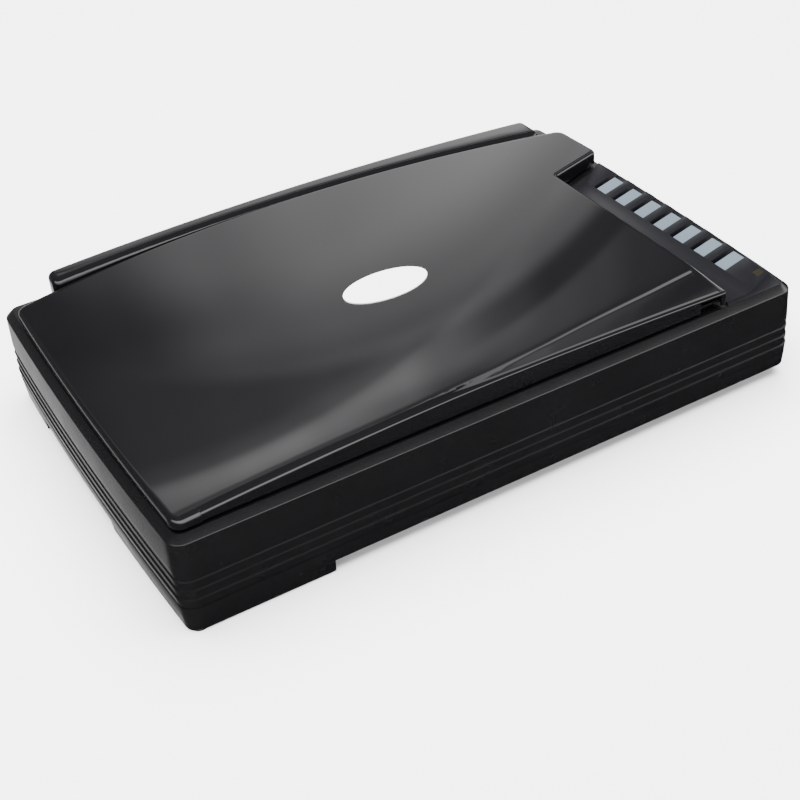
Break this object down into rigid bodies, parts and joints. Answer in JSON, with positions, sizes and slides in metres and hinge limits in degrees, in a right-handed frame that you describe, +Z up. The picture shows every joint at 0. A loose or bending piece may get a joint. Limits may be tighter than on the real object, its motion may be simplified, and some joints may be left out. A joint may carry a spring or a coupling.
{
  "type": "flatbed scanner",
  "caption": "Large-format flatbed scanner with a crowned hinged lid, glass platen, moving scan carriage and a strip of push buttons at one end.",
  "frame": {"origin": "centre of the bounding box in plan, at the underside of the rubber feet", "axes": "+X along the long side towards the buttons, +Y towards the hinges, +Z up"},
  "size_m": [0.5914, 0.3887, 0.1188],
  "materials": {
    "casing_black": "fine satin moulded plastic",
    "lid_gloss_black": "polished black plastic",
    "panel_black": "satin moulded plastic",
    "inner_black": "matt moulded plastic",
    "platen_glass": "clear float glass",
    "gasket_black": "matt tape",
    "white_film": "white film",
    "rubber": "matt rubber",
    "screw_steel": "zinc plated",
    "amber_lens": "translucent amber",
    "circuit_board": "solder resist",
    "switch_black": "matt",
    "mat_white": "white vinyl sheet",
    "foam_grey": "soft foam",
    "button_grey": "satin light grey-blue keys",
    "badge_white": "gloss white with a thin dark rim",
    "hinge_steel": "pressed steel",
    "bushing_brass": "sintered bronze",
    "glide_white": "acetal",
    "lamp_glass": "white glass tube",
    "reflector": "bright film",
    "mirror_glass": "front silvered",
    "lens_black": "black anodised",
    "rod_steel": "ground steel",
    "belt_rubber": "toothed rubber",
    "gear_white": "acetal",
    "bracket_steel": "zinc plated sheet",
    "motor_steel": "plated can",
    "chip_black": "moulded packages",
    "socket_metal": "plated shell",
    "cable_white": "flat cable"
  },
  "bodies": {
    "base": {"board_parts": "chip_black", "board_posts": "inner_black", "board_switches": "switch_black", "button_board": "circuit_board", "button_panel": "panel_black", "calibration_strip": "white_film", "casing_screws": "screw_steel", "drive_belt": "belt_rubber", "flat_cable": "cable_white", "gear_axle": "rod_steel", "glass_gasket": "gasket_black", "guide_rod": "rod_steel", "hinge_sockets": "inner_black", "idler_bracket": "bracket_steel", "lower_casing": "casing_black", "main_board": "circuit_board", "motor_bracket": "bracket_steel", "platen_glass": "platen_glass", "power_jack": "inner_black", "rod_clamps": "inner_black", "rubber_feet": "rubber", "slide_rail": "inner_black", "status_lens": "amber_lens", "stepper_motor": "motor_steel", "tension_spring": "rod_steel", "upper_casing": "casing_black", "usb_socket": "socket_metal"},
    "hinge_posts": {"hinge_posts": "inner_black"},
    "lid": {"lid_shell": "lid_gloss_black", "lid_frame": "casing_black", "document_mat": "mat_white", "mat_foam": "foam_grey", "lid_bumpers": "rubber", "badge": "badge_white", "hinge_cover": "lid_gloss_black", "hinge_leaves": "hinge_steel", "hinge_pins": "screw_steel", "lid_screws": "screw_steel"},
    "carriage": {"carriage_housing": "inner_black", "carriage_cover": "inner_black", "rod_bushings": "bushing_brass", "glide_pad": "glide_white", "belt_clip": "inner_black", "lamp_tube": "lamp_glass", "lamp_ends": "rubber", "lamp_reflector": "reflector", "fold_mirrors": "mirror_glass", "lens_barrel": "lens_black", "sensor_board": "circuit_board"},
    "drive_pulley": {"drive_pulley": "gear_white"},
    "motor_pinion": {"motor_pinion": "bushing_brass"},
    "idler_pulley": {"idler_pulley": "gear_white"},
    "lock_slider": {"lock_slider": "glide_white"},
    "button_1": {"button_1": "button_grey"},
    "button_2": {"button_2": "button_grey"},
    "button_3": {"button_3": "button_grey"},
    "button_4": {"button_4": "button_grey"},
    "button_5": {"button_5": "button_grey"},
    "button_6": {"button_6": "button_grey"},
    "button_7": {"button_7": "button_grey"}
  },
  "joints": [
    {"name": "lid_lift", "type": "slide", "parent": "base", "child": "hinge_posts", "axis": [0, 0, 1], "range_m": [0, 0.02]},
    {"name": "lid_hinge", "type": "hinge", "parent": "hinge_posts", "child": "lid", "pos_m": [0, 0.1904, 0.0995], "axis": [-1, 0, 0], "range_deg": [0, 80]},
    {"name": "carriage_scan", "type": "slide", "parent": "base", "child": "carriage", "axis": [1, 0, 0], "range_m": [0, 0.424]},
    {"name": "pulley_spin", "type": "hinge", "parent": "base", "child": "drive_pulley", "pos_m": [0.236, -0.07, 0.03], "axis": [0, 0, -1], "range_deg": [-5, 4060]},
    {"name": "pinion_spin", "type": "hinge", "parent": "base", "child": "motor_pinion", "pos_m": [0.26, -0.07, 0.034], "axis": [0, 0, 1], "range_deg": [-20, 16240]},
    {"name": "idler_spin", "type": "hinge", "parent": "base", "child": "idler_pulley", "pos_m": [-0.276, -0.07, 0.027], "axis": [0, 0, -1], "range_deg": [-5, 4060]},
    {"name": "lock_slide", "type": "slide", "parent": "base", "child": "lock_slider", "axis": [1, 0, 0], "range_m": [0, 0.011]},
    {"name": "button_1_press", "type": "slide", "parent": "base", "child": "button_1", "axis": [0.2419, 0, -0.9703], "range_m": [0, 0.001], "stiffness_N_per_m": 400, "springref_m": -0.001},
    {"name": "button_2_press", "type": "slide", "parent": "base", "child": "button_2", "axis": [0.2419, 0, -0.9703], "range_m": [0, 0.001], "stiffness_N_per_m": 400, "springref_m": -0.001},
    {"name": "button_3_press", "type": "slide", "parent": "base", "child": "button_3", "axis": [0.2419, 0, -0.9703], "range_m": [0, 0.001], "stiffness_N_per_m": 400, "springref_m": -0.001},
    {"name": "button_4_press", "type": "slide", "parent": "base", "child": "button_4", "axis": [0.2419, 0, -0.9703], "range_m": [0, 0.001], "stiffness_N_per_m": 400, "springref_m": -0.001},
    {"name": "button_5_press", "type": "slide", "parent": "base", "child": "button_5", "axis": [0.2419, 0, -0.9703], "range_m": [0, 0.001], "stiffness_N_per_m": 400, "springref_m": -0.001},
    {"name": "button_6_press", "type": "slide", "parent": "base", "child": "button_6", "axis": [0.2419, 0, -0.9703], "range_m": [0, 0.001], "stiffness_N_per_m": 400, "springref_m": -0.001},
    {"name": "button_7_press", "type": "slide", "parent": "base", "child": "button_7", "axis": [0.2419, 0, -0.9703], "range_m": [0, 0.001], "stiffness_N_per_m": 400, "springref_m": -0.001}
  ],
  "couplings": [
    {"joint": "pulley_spin", "follows": "carriage_scan", "rad_per_m": 166.71},
    {"joint": "pinion_spin", "follows": "carriage_scan", "rad_per_m": 666.85},
    {"joint": "idler_spin", "follows": "carriage_scan", "rad_per_m": 166.71}
  ]
}
